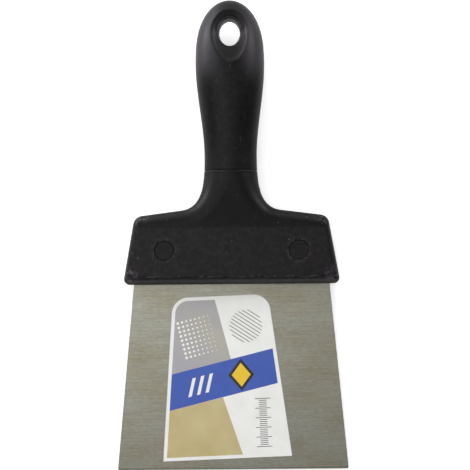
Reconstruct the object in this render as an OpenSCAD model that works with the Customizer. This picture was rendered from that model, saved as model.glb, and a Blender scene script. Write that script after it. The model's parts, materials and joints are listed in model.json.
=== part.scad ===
// Flexible putty knife. A tapered spring-steel blade sits in the slot of a moulded
// holder and is held by two rivets, each hidden under a plug on both sides. The
// holder's neck ends in a spigot, and the grip is pushed over it up to a V groove.
// The knife lies on a bench with its label up and its blade towards -Y. It rests
// on the lip of the holder and on the belly of the grip.

/* [Blade] */
// Width of the working edge
blade_w = 120; // [100:1:160]
// Length of blade that shows below the holder
blade_reach = 96.4; // [80:0.1:130]
// Sheet thickness
blade_t = 0.6; // [0.4:0.1:1.2]
// Slope of each side edge, in degrees
blade_taper = 5.4; // [0:0.1:8]
// Height of the ground band along the working edge
grind_h = 1; // [0.5:0.1:3]
// Thickness left at the very edge
edge_t = 0.3; // [0.2:0.05:0.4]
// Rounding of the working edge's corners
blade_corner_r = 0.8; // [0.4:0.1:3]

/* [Holder] */
// Overhang of the holder past each side of the blade
overhang = 5.4; // [4:0.1:8]
// Height of the holder's sides
holder_h = 35.2; // [30:0.1:45]
// Thickness of the holder across its flat faces
holder_t = 15; // [13:0.1:18]
// Slope of the holder's sides, in degrees
side_slope = 10.1; // [4:0.1:14]
// Slope of the shoulders up to the neck, in degrees
shoulder_slope = 7.2; // [2:0.1:12]
// Radius of the lip's corners in the outline
lip_corner_r = 3; // [2:0.1:4]
// Radius of the shoulder corners in the outline
shoulder_corner_r = 5; // [3:0.1:7]
// Width of the rounded band along the lip
lip_round = 4.7; // [3:0.1:6]
// Width of the rounded band along the sides
side_round = 2.8; // [2:0.1:4]
// Width of the rounded band along the shoulders
shoulder_round = 5.8; // [4:0.1:7]
// Share of the thickness that stays upright at the outline
upright = 0.42; // [0.3:0.01:0.6]
// Plastic left between the blade's root and the holder's shoulders
root_wall = 9.2; // [7:0.1:12]

/* [Neck] */
// Width of the neck at the groove
neck_w = 27.6; // [24:0.1:31]
// Thickness of the neck at the groove
neck_t = 20.4; // [19.6:0.1:24]
// Height of the curve from the shoulders up to the groove
flare_h = 19.75; // [16:0.05:30]
// Width of that curve on each side
flare_w = 12.1; // [8:0.1:16]
// Slope of the neck's sides at the groove, in degrees
neck_slope = 3.8; // [0:0.1:6]
// Depth and half width of the V groove
groove = 0.6; // [0.3:0.1:1]

/* [Grip] */
// Width of the grip at its waist
waist_w = 27.2; // [24:0.1:31]
// Length from the groove to the waist
waist_rise = 7.4; // [4:0.1:12]
// Width of the grip at its belly
belly_w = 35.7; // [32:0.1:42]
// Thickness of the grip at its belly
belly_t = 27; // [25:0.1:32]
// Length from the waist to the belly
belly_rise = 48; // [42:0.1:60]
// Length from the belly to the end of the grip
crown_h = 33.3; // [31:0.1:45]
// How slowly the end narrows behind the belly, where 2 is an ellipse
crown_power = 2.64; // [2:0.01:3]
// How blunt its tip is, where 2 is an ellipse
tip_power = 1.91; // [1.8:0.01:2.4]
// Squareness of the belly's cross-section, where 2 is an ellipse
belly_power = 2.3; // [2:0.1:3]

/* [Hanging hole] */
// Width of the hole
hole_w = 10.9; // [8:0.1:13]
// Length of the hole, along the grip
hole_l = 14.1; // [13.5:0.1:18]
// Distance from the end of the grip to the middle of the hole
hole_inset = 17.3; // [16:0.1:20]
// Thickness of the web that the hole goes through
web_t = 10.6; // [8:0.1:13]
// Chamfer round each mouth of the hole
hole_chamfer = 0.9; // [0.3:0.1:1]
// Width of the scoop round the hole
scoop_w = 20.4; // [18:0.1:22]
// Reach of the scoop above the middle of the hole
scoop_rise = 11.3; // [10.5:0.1:12.5]
// Reach of the scoop below the middle of the hole
scoop_drop = 17.3; // [15:0.1:20]
// Radius of the scoop's cheeks, half way down to its narrow end
scoop_cheek_r = 7.6; // [6:0.1:9]
// Radius of the scoop's narrow lower end
scoop_tip_r = 3.9; // [3:0.1:6]
// Height of the step where the scoop meets the grip's face
scoop_step = 0.6; // [0.2:0.1:1.5]

/* [Spigot] */
// Diameter of the spigot inside the grip
spigot_d = 15; // [12:0.1:16]
// Length of the spigot
spigot_l = 38; // [25:0.1:40]
// Width across the two fins that stop the grip from turning
fin_span = 19.6; // [18:0.1:21]
// Thickness of a fin
fin_t = 3; // [2:0.1:5]
// Length of the fins
fin_l = 22; // [15:0.5:24]
// Height of a snap ring above the spigot
snap_h = 0.6; // [0.3:0.1:0.9]
// Length of a snap ring's ramp
snap_run = 1.8; // [1:0.1:3]
// Number of snap rings
snap_count = 3; // [1:1:4]

/* [Rivets] */
// Distance from the blade's root to the rivets
rivet_drop = 8.3; // [7:0.1:10]
// Distance from the blade's side, at the lip, to a rivet
rivet_inset = 16.3; // [12:0.1:30]
// Shank diameter
rivet_d = 5; // [3:0.1:6]
// Head diameter
rivet_head_d = 8.4; // [7:0.1:8.6]
// Head height
rivet_head_h = 1.3; // [0.8:0.1:1.6]
// Diameter of a plug over a rivet
plug_d = 10.2; // [9.8:0.1:12]
// Depth of the seat that a rivet head and a plug share
seat_depth = 4.3; // [3.8:0.1:5]
// Distance that a plug stays below the holder's face
plug_recess = 0.35; // [0.1:0.05:0.8]
// Wall of a plug's skirt, which stands round the rivet head
skirt_t = 0.7; // [0.5:0.1:0.8]
// Chamfer round a plug's face
plug_chamfer = 0.3; // [0.1:0.05:0.6]

/* [Label] */
// Width of the label along its lower edge
label_w = 67; // [40:1:80]
// Slope of the label's side edges, in degrees
label_taper = 5.9; // [0:0.1:8]
// Margin between the working edge and the label
label_foot = 5.6; // [3:0.1:20]
// Margin between the label and the holder's lip
label_head = 6.2; // [3:0.1:20]
// Radius of the label's upper corners
label_r = 8.6; // [2:0.1:12]
// Label thickness
label_t = 0.12; // [0.05:0.01:0.3]
// Sideways place of the middle of the label's lower edge
label_x = -2.9; // [-6:0.1:6]
// Turn of the label on the blade, in degrees
label_turn = 2.1; // [-3:0.1:3]

/* [Clearances] */
// Gap on each face and side of the blade in its slot
slot_gap = 0.05; // [0.02:0.01:0.2]
// Gap all round the spigot in the grip
spigot_gap = 0.1; // [0.05:0.01:0.3]
// Gap round rivet shanks and plugs
rivet_gap = 0.05; // [0.02:0.01:0.15]

/* [Hidden] */
$fn = 96;

past = 1;              // how far a cutter runs past the face that it opens
lip_y = blade_reach;
blade_lip_w = blade_w - 2 * blade_reach * tan(blade_taper);
holder_lip_w = blade_lip_w + 2 * overhang;
holder_top_w = holder_lip_w - 2 * holder_h * tan(side_slope);
shoulder_run = (holder_top_w - neck_w) / 2 - flare_w;
flare_y = holder_h + shoulder_run * tan(shoulder_slope);    // where the flare starts, above the lip
neck_y = flare_y + flare_h + groove;                        // height of the groove above the lip
groove_y = lip_y + neck_y;
waist_y = groove_y + waist_rise;
belly_y = waist_y + belly_rise;
end_y = belly_y + crown_h;
hole_y = end_y - hole_inset;

blade_tuck = holder_h - root_wall;
root_y = lip_y + blade_tuck;
rivet_x = blade_lip_w / 2 - rivet_inset;
rivet_y = root_y - rivet_drop;
seat_z = holder_t / 2 - seat_depth;

label_h = blade_reach - label_foot - label_head;
label_top_w = label_w - 2 * label_h * tan(label_taper);

function unit(v) = v / norm(v);
function mix(a, b, t) = a + (b - a) * t;
function clamp(t) = max(0, min(1, t));
function smooth(t) = let (c = clamp(t)) c * c * (3 - 2 * c);
function power_of(v, p) = sign(v) * pow(abs(v), p);

// Points of a straight line or a Bezier curve, without its first point
function line(a, b, n) = [for (i = [1:n]) mix(a, b, i / n)];
function bezier(a, b, c, d, n) = [for (i = [1:n]) let (t = i / n, s = 1 - t)
    a * s * s * s + 3 * b * s * s * t + 3 * c * s * t * t + d * t * t * t];

// Arc of radius r that rounds the corner b between a and c
function corner(a, b, c, r, n) =
    let (u = unit(a - b), v = unit(c - b),
        half = acos(u * v) / 2,
        centre = b + unit(u + v) * r / sin(half),
        from = b + u * r / tan(half) - centre,
        to = b + v * r / tan(half) - centre,
        start = atan2(from[1], from[0]),
        turn = atan2(from[0] * to[1] - from[1] * to[0], from * to))
    [for (i = [0:n]) centre + r * [cos(start + turn * i / n), sin(start + turn * i / n)]];

// Adds to each point of a stretch of outline the width of its rounded band
function band(points, from, to) = [for (i = [0:len(points) - 1])
    [points[i][0], points[i][1], mix(from, to, i / max(1, len(points) - 1))]];

// A closed solid through flat rings that all have the same, even number of points
module skin(rings) {
    n = len(rings[0]);
    last = len(rings) - 1;
    sides = [for (r = [0:last - 1], i = [0:n - 1])
        let (a = r * n + i, b = r * n + (i + 1) % n)
        each [[a, a + n, b + n], [a, b + n, b]]];
    ends = [for (i = [0:n / 2 - 2])
        let (a = i, b = i + 1, c = n - 2 - i, d = n - 1 - i, top = last * n)
        each [[a, b, c], [a, c, d], [top + c, top + b, top + a], [top + d, top + c, top + a]]];
    polyhedron(points = [for (ring = rings) each ring], faces = concat(ends, sides));
}

// ---- Holder: right half of its outline from the middle of the lip to the groove ----

lip_corner = [holder_lip_w / 2, 0];
shoulder_corner = [holder_top_w / 2, holder_h];
flare_foot = [neck_w / 2 + flare_w, flare_y];
flare_top = [neck_w / 2, flare_y + flare_h];
// handles of the curve between them, as shares of its width and its height
flare_lean = 0.82 * flare_w * [-1, tan(shoulder_slope)];
flare_pull = 0.47 * flare_h * [tan(neck_slope), -1];

lip_arc = corner([0, 0], lip_corner, shoulder_corner, lip_corner_r, 5);
shoulder_arc = corner(lip_corner, shoulder_corner, flare_foot, shoulder_corner_r, 7);
side_start = lip_arc[len(lip_arc) - 1];
side_end = shoulder_arc[0];

outline = concat(
    band(lip_arc, lip_round, side_round),
    band(line(side_start, mix(side_start, side_end, 0.09), 3), side_round, side_round),
    band(line(mix(side_start, side_end, 0.09), mix(side_start, side_end, 0.94), 3), side_round, side_round),
    band(shoulder_arc, side_round, shoulder_round),
    band(line(shoulder_arc[len(shoulder_arc) - 1], flare_foot, 7), shoulder_round, shoulder_round),
    band(bezier(flare_foot, flare_foot + flare_lean, flare_top + flare_pull, flare_top, 16),
        shoulder_round, neck_w / 2)
);
edges = concat([[0, 0, lip_round]], outline);

crown_start = holder_h - shoulder_round;    // where the faces begin to swell into the neck

function flat(v) = [v[0], v[1]];
function to_segment(p, a, b) = let (u = b - a) norm(p - a - u * clamp((p - a) * u / (u * u)));

// 0 at the outline and 1 where the rounded band is behind
function inset(p) = min(1, min([for (i = [0:len(edges) - 2])
    to_segment(p, flat(edges[i]), flat(edges[i + 1])) / ((edges[i][2] + edges[i + 1][2]) / 2)]));

// Half thickness of the holder at (x, y), with y measured from the lip
function holder_z(x, y) =
    let (crown = smooth((y - crown_start) / (neck_y - crown_start)) *
            (1 - smooth((abs(x) - neck_w / 2) / flare_w)),
        full = mix(holder_t / 2, neck_t / 2, crown),
        wall = mix(upright, 0.03, smooth((y - holder_h) / flare_h)),
        rise = inset([abs(x), y]))
    full * mix(wall, 1, sqrt(1 - pow(1 - rise, 2)));

holder_columns = 13;
spread = [for (j = [-holder_columns:holder_columns]) sin(90 * j / holder_columns)];

function holder_ring(w, y, shrink = 0) =
    let (k = (neck_t / 2 - shrink) / (neck_t / 2),
        front = [for (s = spread) [(w - shrink) * s, lip_y + y + shrink, k * holder_z(w * s, y)]])
    concat(front, [for (i = [len(front) - 1:-1:0]) [front[i][0], front[i][1], -front[i][2]]]);

module blade_slot() {
    root_half = blade_lip_w / 2 - blade_tuck * tan(blade_taper);
    mouth_half = blade_lip_w / 2 + past * tan(blade_taper);
    translate([0, 0, -blade_t / 2 - slot_gap])
        linear_extrude(blade_t + 2 * slot_gap)
            polygon([
                [-mouth_half - slot_gap, lip_y - past],
                [mouth_half + slot_gap, lip_y - past],
                [root_half + slot_gap, root_y + slot_gap],
                [-root_half - slot_gap, root_y + slot_gap]
            ]);
}

// Spigot profile: a straight core with saw-tooth snap rings
module spigot(gap = 0) {
    radius = spigot_d / 2 + gap;
    pitch = spigot_l / (snap_count + 1);
    chamfer = 1;
    translate([0, groove_y, 0])
        rotate([-90, 0, 0]) {
            rotate_extrude()
                polygon(concat(
                    [[0, -past], [radius, -past]],
                    [for (k = [1:snap_count]) each [
                        [radius, k * pitch - gap],
                        [radius + snap_h, k * pitch],
                        [radius, k * pitch + snap_run + gap]
                    ]],
                    [
                        [radius, spigot_l - chamfer + gap],
                        [radius - chamfer, spigot_l + gap],
                        [0, spigot_l + gap]
                    ]
                ));
            translate([-fin_span / 2 - gap, -fin_t / 2 - gap, -past])
                cube([fin_span + 2 * gap, fin_t + 2 * gap, fin_l + past + gap]);
        }
}

module rivet_bores() {
    for (side = [-1, 1])
        translate([side * rivet_x, rivet_y, 0]) {
            cylinder(h = holder_t + 2 * past, d = rivet_d + 2 * rivet_gap, center = true);
            for (face = [0, 180])
                rotate([0, face, 0])
                    translate([0, 0, seat_z])
                        cylinder(h = seat_depth + past, d = plug_d + 2 * rivet_gap);
        }
}

module holder() {
    color("#262526")
        difference() {
            union() {
                skin(concat(
                    [for (p = outline) holder_ring(p[0], p[1])],
                    [holder_ring(neck_w / 2, neck_y - groove, groove)]
                ));
                spigot();
            }
            blade_slot();
            rivet_bores();
        }
}

// ---- Grip: stations as [distance along the knife, half width, half thickness, squareness] ----

foot_w = neck_w - 4 * groove * tan(neck_slope);    // the grip's lower end, in line with the neck
waist_steps = 3;
rise_steps = 12;
crown_steps = 11;
grip_stations = concat(
    [[groove_y, foot_w / 2 - groove, neck_t / 2 - groove, 2]],
    [for (i = [0:waist_steps - 1])
        let (t = i / waist_steps)
        [mix(groove_y + groove, waist_y, t), mix(waist_w, foot_w, pow(1 - t, 2)) / 2, neck_t / 2, 2]],
    [for (i = [0:rise_steps])
        let (t = i / rise_steps, swell = (1 - cos(180 * t)) / 2)
        [mix(waist_y, belly_y, t), mix(waist_w, belly_w, swell) / 2,
            mix(neck_t, belly_t, swell) / 2, mix(2, belly_power, swell)]],
    [for (i = [1:crown_steps])
        crown_station(89 * pow(i / crown_steps, 0.9))]
);

// The end of the grip is a quarter turn from the belly at 0 degrees to the tip at 90
function crown_station(a) = [belly_y + crown_h * pow(sin(a), 2 / crown_power),
    belly_w / 2 * pow(cos(a), 2 / tip_power), belly_t / 2 * cos(a), belly_power];

// Half thickness of the grip at (x, y), from the belly to the end
function grip_z(x, y) =
    let (s = crown_station(asin(pow(clamp((y - belly_y) / crown_h), crown_power / 2))))
    s[2] * pow(1 - pow(min(1, abs(x) / s[1]), belly_power), 1 / belly_power);

ring_points = 40;

function grip_ring(s) = [for (i = [0:ring_points - 1])
    let (a = -360 * i / ring_points)
    [s[1] * power_of(cos(a), 2 / s[3]), s[0], s[2] * power_of(sin(a), 2 / s[3])]];

// Hole with round ends through the web, and a chamfer at both of its mouths
module web_hole() {
    straight = hole_l - hole_w;
    reach = belly_t;
    for (end = [-1, 1])
        translate([0, end * straight / 2, 0]) {
            cylinder(h = 2 * reach, d = hole_w, center = true);
            for (face = [0, 180])
                rotate([0, face, 0])
                    translate([0, 0, web_t / 2 - hole_chamfer])
                        cylinder(h = 2 * hole_chamfer, d1 = hole_w, d2 = hole_w + 4 * hole_chamfer);
        }
    cube([hole_w, straight, 2 * reach], center = true);
    for (face = [0, 180])
        rotate([90, face, 0])
            translate([0, web_t / 2 - hole_chamfer, -straight / 2])
                linear_extrude(straight)
                    polygon([
                        [-hole_w / 2, 0],
                        [hole_w / 2, 0],
                        [hole_w / 2 + 2 * hole_chamfer, 2 * hole_chamfer],
                        [-hole_w / 2 - 2 * hole_chamfer, 2 * hole_chamfer]
                    ]);
}

// The scoop is egg-shaped: its walls slope from the hole's mouth out to a small step at the grip's face
module scoop() {
    mouth_z = belly_t / 2 + past;
    mouth_r = hole_w / 2 + hole_chamfer;
    floor_y = (hole_l - hole_w) / 2;
    top_r = mouth_r + 1.6;
    wide_y = 1;
    cheek_y = -8;
    tip_y = scoop_tip_r - scoop_drop;
    hull()
        for (bed = [
            [mouth_r, floor_y, web_t / 2],
            [mouth_r, -floor_y, web_t / 2],
            [top_r, scoop_rise - top_r, grip_z(0, hole_y + scoop_rise) - scoop_step],
            [scoop_w / 2, wide_y, grip_z(scoop_w / 2, hole_y + wide_y) - scoop_step],
            [scoop_cheek_r, cheek_y, grip_z(scoop_cheek_r, hole_y + cheek_y) - scoop_step],
            [scoop_tip_r, tip_y, grip_z(0, hole_y + tip_y) - scoop_step]
        ])
            translate([0, bed[1], bed[2]])
                cylinder(h = mouth_z - bed[2], r = bed[0], $fn = 32);
}

module grip() {
    color("#232223")
        difference() {
            skin([for (s = grip_stations) grip_ring(s)]);
            translate([0, hole_y, 0]) {
                web_hole();
                for (face = [0, 180])
                    rotate([0, face, 0])
                        scoop();
            }
            spigot(spigot_gap);
        }
}

// ---- Blade ----

module blade() {
    root_half = blade_lip_w / 2 - blade_tuck * tan(blade_taper);
    edge_left = [-blade_w / 2, 0];
    edge_right = [blade_w / 2, 0];
    root_right = [root_half, root_y];
    root_left = [-root_half, root_y];
    color("#b9b7ab")
        difference() {
            translate([0, 0, -blade_t / 2])
                linear_extrude(blade_t)
                    polygon(concat(
                        corner(root_left, edge_left, edge_right, blade_corner_r, 6),
                        corner(edge_left, edge_right, root_right, blade_corner_r, 6),
                        [root_right, root_left]
                    ));
            for (side = [-1, 1])
                translate([side * rivet_x, rivet_y, 0])
                    cylinder(h = blade_t + 2 * past, d = rivet_d + 2 * rivet_gap, center = true);
            for (face = [0, 180])
                rotate([0, face, 0])
                    translate([-blade_w / 2 - past, 0, edge_t / 2])
                        rotate([atan2(blade_t - edge_t, 2 * grind_h), 0, 0])
                            translate([0, -past, 0])
                                cube([blade_w + 2 * past, grind_h + past + past, past]);
        }
}

// ---- Rivets and plugs ----

module rivet(side) {
    color("#c9c9c4")
        translate([side * rivet_x, rivet_y, 0]) {
            cylinder(h = 2 * seat_z, d = rivet_d, center = true);
            for (face = [0, 180])
                rotate([0, face, 0])
                    translate([0, 0, seat_z])
                        rotate_extrude()
                            polygon([[0, 0], [rivet_head_d / 2, 0], [rivet_head_d / 2, rivet_head_h / 2],
                                [rivet_head_d / 2 - rivet_head_h / 2, rivet_head_h], [0, rivet_head_h]]);
        }
}

// face is 1 for the label side and -1 for the back
module plug(side, face) {
    top = seat_depth - plug_recess;
    radius = plug_d / 2;
    socket_r = radius - skirt_t;
    color("#1f1e1f")
        translate([side * rivet_x, rivet_y, 0])
            rotate([0, face > 0 ? 0 : 180, 0])
                translate([0, 0, seat_z])
                    rotate_extrude()
                        polygon([
                            [0, rivet_head_h],
                            [socket_r, rivet_head_h],
                            [socket_r, 0],
                            [radius, 0],
                            [radius, top - plug_chamfer],
                            [radius - plug_chamfer, top],
                            [0, top]
                        ]);
}

// ---- Label ----

module label() {
    foot_left = [-label_w / 2, 0];
    foot_right = [label_w / 2, 0];
    head_right = [label_top_w / 2, label_h];
    head_left = [-label_top_w / 2, label_h];
    color("#eeeeea")
        translate([label_x, label_foot, blade_t / 2])
            rotate([0, 0, label_turn])
                linear_extrude(label_t)
                    polygon(concat(
                        [foot_left, foot_right],
                        corner(foot_right, head_right, head_left, label_r, 10),
                        corner(head_right, head_left, foot_left, label_r, 10)
                    ));
}

// ---- The knife at rest: tilted so that the lip and the highest line behind it touch the bench ----

contact_y = lip_y + lip_round;
back_line = concat(
    [for (p = outline) if (p[1] > holder_h) [lip_y + p[1], holder_z(0, p[1])]],
    [for (s = grip_stations) [s[0], s[2]]]
);
rest_tilt = max([for (p = back_line) atan2(p[1] - holder_t / 2, p[0] - contact_y)]);
rest_lift = holder_t / 2 * cos(rest_tilt) - contact_y * sin(rest_tilt);
middle_y = end_y * cos(rest_tilt) / 2;

module at_rest() {
    translate([0, -middle_y, rest_lift])
        rotate([rest_tilt, 0, 0])
            children();
}

at_rest() blade();
at_rest() holder();
at_rest() grip();
at_rest() rivet(-1);  // rivet_left
at_rest() rivet(1);  // rivet_right
at_rest() plug(-1, 1);  // plug_front_left
at_rest() plug(1, 1);  // plug_front_right
at_rest() plug(-1, -1);  // plug_rear_left
at_rest() plug(1, -1);  // plug_rear_right
at_rest() label();
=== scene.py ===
# %% [markdown]
# # A flexible putty knife
# This lesson dresses the CAD model of a putty knife: a steel blade in a black moulded
# holder, with a moulded grip. The CAD model already has every piece at its real size and
# place. Blender adds what a drawing leaves out: smooth moulded surfaces, the grain of
# rolled steel, the print on the label, and light.
# The first cell loads the CAD model. Its pieces arrive as objects, in metres.

# %% Load the CAD model
import json
import math
import bmesh
import bpy
import numpy as np
from mathutils import Matrix, Vector


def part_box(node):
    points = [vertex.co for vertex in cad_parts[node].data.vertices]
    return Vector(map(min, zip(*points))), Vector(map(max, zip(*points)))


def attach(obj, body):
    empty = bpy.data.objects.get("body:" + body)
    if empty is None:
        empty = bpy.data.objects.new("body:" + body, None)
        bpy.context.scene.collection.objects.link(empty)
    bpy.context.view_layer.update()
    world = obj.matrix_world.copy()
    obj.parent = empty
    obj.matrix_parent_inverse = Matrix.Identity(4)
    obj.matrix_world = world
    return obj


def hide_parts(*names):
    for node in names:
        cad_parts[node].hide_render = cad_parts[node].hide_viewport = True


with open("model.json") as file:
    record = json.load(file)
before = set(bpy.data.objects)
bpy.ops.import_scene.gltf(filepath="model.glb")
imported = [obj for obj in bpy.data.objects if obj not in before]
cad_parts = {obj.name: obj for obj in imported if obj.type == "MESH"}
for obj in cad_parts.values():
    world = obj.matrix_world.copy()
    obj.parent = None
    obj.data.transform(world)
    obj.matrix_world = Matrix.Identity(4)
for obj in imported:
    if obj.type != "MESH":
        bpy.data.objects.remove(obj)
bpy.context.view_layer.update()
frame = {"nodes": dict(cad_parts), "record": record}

print("nodes:", ", ".join(sorted(frame["nodes"])))

# %% [markdown]
# ## Where the knife lies
# A knife is easiest to model flat: x across the blade, y up from the working edge, z out
# of the label's side, all in millimetres. The real one lies on its holder and its belly,
# so its blade is a little tilted. The hanging hole's axis and centre, in the part's
# record, give that tilt. `LAID_DOWN` turns flat millimetres into the metres of the scene,
# and every piece goes through it once, at its end.

# %% From flat millimetres to the bench
MM = 0.001
mounts = {mount["name"]: mount for mount in frame["record"]["mounts"]}
hole_axis = Vector(mounts["hanging_hole"]["axis"])
hole_at = Vector(mounts["hanging_hole"]["pos_m"])
tilt = math.atan2(-hole_axis.y, hole_axis.z)
hole_y = (hole_at.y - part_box("blade")[0][1]) / math.cos(tilt) / MM
LAID_DOWN = (Matrix.Translation(hole_at) @ Matrix.Rotation(tilt, 4, "X")
             @ Matrix.Scale(MM, 4) @ Matrix.Translation((0, -hole_y, 0)))
print(f"tilt {math.degrees(tilt):.2f} degrees, hanging hole {hole_y:.1f} mm from the edge")


def add_object(name, data):
    """Make an object of a mesh, a lamp or a camera, and link it to the scene."""
    made = bpy.data.objects.new(name, data)
    bpy.context.scene.collection.objects.link(made)
    return made


def mesh_of(name, shape):
    """Turn a bmesh shape into a plain mesh."""
    mesh = bpy.data.meshes.new(name)
    shape.to_mesh(mesh)
    shape.free()
    return mesh


def lay_down(name, mesh, material, place=Matrix.Identity(4)):
    """Make an object of a mesh in flat millimetres, at its place on the bench."""
    mesh.transform(LAID_DOWN @ place)
    mesh.materials.clear()
    mesh.materials.append(material)
    return add_object(name, mesh)


# %% [markdown]
# ## Materials
# A material is a small graph of nodes. One helper adds a node, sets its plain settings and
# links its inputs, so each material below reads as a short recipe, from its coordinates to
# its Principled shader. Colours are written as hex, the way a paint chart gives them, and
# turned to the linear values that light needs. Patterns are laid out in the same flat
# millimetres as the pieces, so that a pattern of size s mm has a scale of 1 / s.

# %% Helpers for materials
FLAT = LAID_DOWN.inverted()
NOISE, VORONOI, BUMP = "ShaderNodeTexNoise", "ShaderNodeTexVoronoi", "ShaderNodeBump"
MAPPING, VECTOR_MATH = "ShaderNodeMapping", "ShaderNodeVectorMath"
SPLIT, COMBINE = "ShaderNodeSeparateXYZ", "ShaderNodeCombineXYZ"
MATH, MAP, MIX = "ShaderNodeMath", "ShaderNodeMapRange", "ShaderNodeMix"
PLUS, LESS, TIMES, OVER = ({"operation": kind} for kind in ("ADD", "SUBTRACT", "MULTIPLY", "DIVIDE"))
TO_POWER, MOST, BELOW, SIZE = ({"operation": kind} for kind in ("POWER", "MAXIMUM", "LESS_THAN", "ABSOLUTE"))
COLOURS, SOFT = {"data_type": "RGBA"}, {"interpolation_type": "SMOOTHSTEP"}


def linear(hex_colour):
    """Turn '#rrggbb' in sRGB to a linear RGBA tuple."""
    channels = [int(hex_colour[i:i + 2], 16) / 255 for i in (1, 3, 5)]
    return tuple(c / 12.92 if c <= 0.04045 else ((c + 0.055) / 1.055) ** 2.4 for c in channels) + (1.0,)


def add(tree, kind, settings=None, **inputs):
    """Add a node. Settings are its own choices. Inputs are named (Scale) or counted (in_0), and take a
    value, a socket, or a node, which stands for its first output."""
    node = tree.nodes.new(kind)
    for key, value in (settings or {}).items():
        setattr(node, key, value)
    for key, value in inputs.items():
        name = int(key[3:]) if key.startswith("in_") else key.replace("_", " ")
        source = value.outputs[0] if isinstance(value, bpy.types.Node) else value
        if isinstance(source, bpy.types.NodeSocket):
            tree.links.new(source, node.inputs[name])
        else:
            node.inputs[name].default_value = source
    return node


def new_tree(owner):
    """The empty node tree of a material or world."""
    owner.use_nodes = True
    owner.node_tree.nodes.clear()
    return owner.node_tree


def new_material(name):
    """A material, its empty tree and its flat coordinates in millimetres."""
    material = bpy.data.materials.new(name)
    tree = new_tree(material)
    metres = add(tree, "ShaderNodeTexCoord").outputs["Object"]
    place = add(tree, MAPPING, Vector=metres, Location=FLAT.translation, Rotation=FLAT.to_euler(),
                Scale=FLAT.to_scale())
    return material, tree, place


def surface(tree, **inputs):
    """End a material's tree in a Principled shader with these inputs."""
    shader = add(tree, "ShaderNodeBsdfPrincipled", **inputs)
    add(tree, "ShaderNodeOutputMaterial", Surface=shader)


# %% [markdown]
# ### Moulded polypropylene
# The holder, the grip and the plugs are black polypropylene, injection moulded in a mould
# whose walls have a fine satin grain. That gives the eye a soft sheen with no sharp
# reflections, and a faint orange peel. The real grain is near 0.1 mm, too fine to show, so
# it is drawn at 0.7 mm. Use adds the rest: cloudy patches, small pale specks where
# something hard has touched it, and a few hair scratches that run mostly along the knife.
# Each kind of mark is a mask from 0 to 1, made by a function of its own, so that a
# moulding takes only the marks it has.

# %% Specks and hair scratches
def pale_specks(tree, place, share):
    """Small ragged dots in a share of the cells of a 3 mm pattern."""
    wobble = add(tree, NOISE, Vector=place, Scale=1 / 0.8).outputs["Color"]
    shaken = add(tree, VECTOR_MATH, {"operation": "MULTIPLY_ADD"}, in_0=wobble,
                 in_1=(0.9, 0.9, 0.9), in_2=place)
    cells = add(tree, VORONOI, Vector=shaken, Scale=1 / 3)
    dot = add(tree, MAP, Value=cells.outputs["Distance"], From_Min=0.13, From_Max=0.07)
    chance = add(tree, "ShaderNodeSeparateColor", Color=cells.outputs["Color"])
    chosen = add(tree, MATH, BELOW, in_0=chance.outputs["Red"], in_1=share)
    faint = add(tree, MATH, TIMES, in_0=chosen, in_1=chance.outputs["Green"])
    return add(tree, MATH, TIMES, in_0=dot, in_1=faint)


def hair_scratches(tree, place):
    """Faint lines 0.5 mm wide and 7 mm long, 8 degrees off the knife's own direction."""
    drawn_out = add(tree, MAPPING, Vector=place, Rotation=(0.0, 0.0, math.radians(8)),
                    Scale=(1 / 0.5, 1 / 7, 1 / 4))
    hair = add(tree, NOISE, Vector=drawn_out, Scale=1.0, Detail=1.0)
    return add(tree, MAP, Value=hair, From_Min=0.70, From_Max=0.82, To_Max=0.35)


# %% [markdown]
# Other wear has its place, and so has some painted light. The lip's edge is scuffed in dashes, because
# filler scrapes past it. The lip's corners and the rims of the plug seats are flecked with wear, while the
# pale flecks at the top corners are painted glints. Painted shade darkens the holder above its face, a
# painted highlight lightens the upper flanks of the grip, and a pale painted highlight lies in the joint of
# the two mouldings. Height above the working edge and distance from the middle put each one where it
# belongs.

# %% Wear, painted shade and painted highlights that have their place
def scuffed_edge(tree, place, height, low, high):
    """Short dashes between the heights low and high."""
    above = add(tree, MAP, Value=height, From_Min=low, From_Max=low + 0.4)
    below = add(tree, MAP, Value=height, From_Min=high, From_Max=high - 0.4)
    band = add(tree, MATH, TIMES, in_0=above, in_1=below)
    dashes = add(tree, MAPPING, Vector=place, Scale=(1 / 2.2, 1 / 0.8, 1 / 2))
    rubbed = add(tree, NOISE, Vector=dashes, Scale=1.0, Detail=3.0)
    scuffed = add(tree, MAP, Value=rubbed, From_Min=0.48, From_Max=0.70, To_Max=0.7)
    return add(tree, MATH, TIMES, in_0=band, in_1=scuffed)


def flecks_near(tree, place, folded, at, reach, full, most, size, detail):
    """Flecks round the point at, (x, y), and its mirror image, from none at the distance reach to most
    at the distance full."""
    apart = add(tree, VECTOR_MATH, {"operation": "DISTANCE"}, in_0=folded, in_1=(*at, 0.0))
    close = add(tree, MAP, Value=apart.outputs["Value"], From_Min=reach, From_Max=full, To_Max=most)
    knocks = add(tree, NOISE, Vector=place, Scale=1 / size, Detail=detail)
    flecks = add(tree, MAP, Value=knocks, From_Min=0.45, From_Max=0.7)
    return add(tree, MATH, TIMES, in_0=close, in_1=flecks)


def painted_flank_highlight(tree, height, side, start):
    """A painted highlight on the sides of the grip, from the height start on."""
    high = add(tree, MAP, SOFT, Value=height, From_Min=start, From_Max=start + 20)
    outer = add(tree, MAP, SOFT, Value=side, From_Min=2, From_Max=13)
    return add(tree, MATH, TIMES, in_0=high, in_1=outer)


def painted_joint_highlight(tree, height, side, at):
    """A painted highlight line round the neck at a height, fainter in the middle."""
    joint = add(tree, MATH, {"operation": "COMPARE"}, in_0=height, in_1=at, in_2=0.3)
    flank = add(tree, MAP, Value=side, From_Min=3, From_Max=9, To_Min=0.3)
    return add(tree, MATH, TIMES, in_0=joint, in_1=flank)


# %% The plastic itself
# Painted light: a near black for painted shade, and two greys for painted highlights on the grip's flanks
# and in the joint.
PAINTED_SHADE, FLANK_HIGHLIGHT, JOINT_HIGHLIGHT = "#020202", "#38353a", "#373537"


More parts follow.
